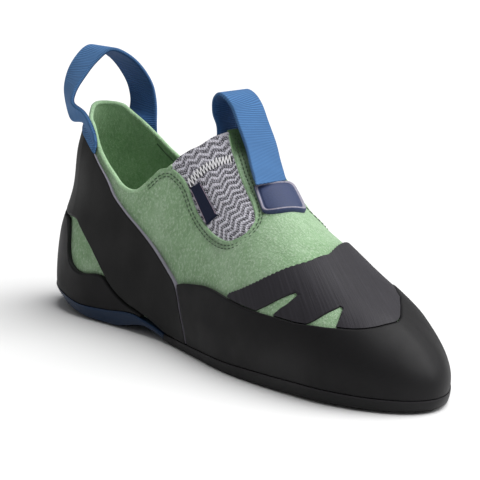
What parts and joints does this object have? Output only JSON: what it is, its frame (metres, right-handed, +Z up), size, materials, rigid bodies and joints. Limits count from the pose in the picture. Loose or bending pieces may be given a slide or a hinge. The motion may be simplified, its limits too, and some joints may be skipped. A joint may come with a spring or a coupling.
{
  "type": "climbing shoe",
  "caption": "Slip-on climbing shoe: green suede upper with knit gores, black rubber sling, rand and toe patch, blue heel sole and webbing pull loops.",
  "frame": {"origin": "middle of the flat spot under the heel, on the plane that the shoe stands on", "axes": "+X to the toe, +Y to the lateral side, +Z up; the medial side is -Y"},
  "size_m": [0.2485, 0.086, 0.1136],
  "materials": {
    "suede": "pale green suede with a short nap",
    "knit": "lilac-grey stretch knit with a dark chevron",
    "rubber": "matt black climbing rubber",
    "patch_rubber": "dark grey rubber with fine lines",
    "blue_rubber": "dark blue moulded rubber",
    "webbing": "ribbed blue webbing",
    "badge": "grey-blue moulded badge",
    "label": "navy woven label",
    "lining": "dull green lining"
  },
  "bodies": {
    "root": {"upper": "suede", "gore_medial": "knit", "gore_lateral": "knit", "side_label": "label", "insole": "lining", "heel_sole": "blue_rubber", "outsole": "rubber", "sling_strap": "rubber", "heel_rubber": "rubber", "toe_rand": "rubber", "toe_patch": "patch_rubber", "instep_badge": "badge", "heel_pull_loop": "webbing", "front_pull_loop": "webbing"}
  },
  "joints": []
}
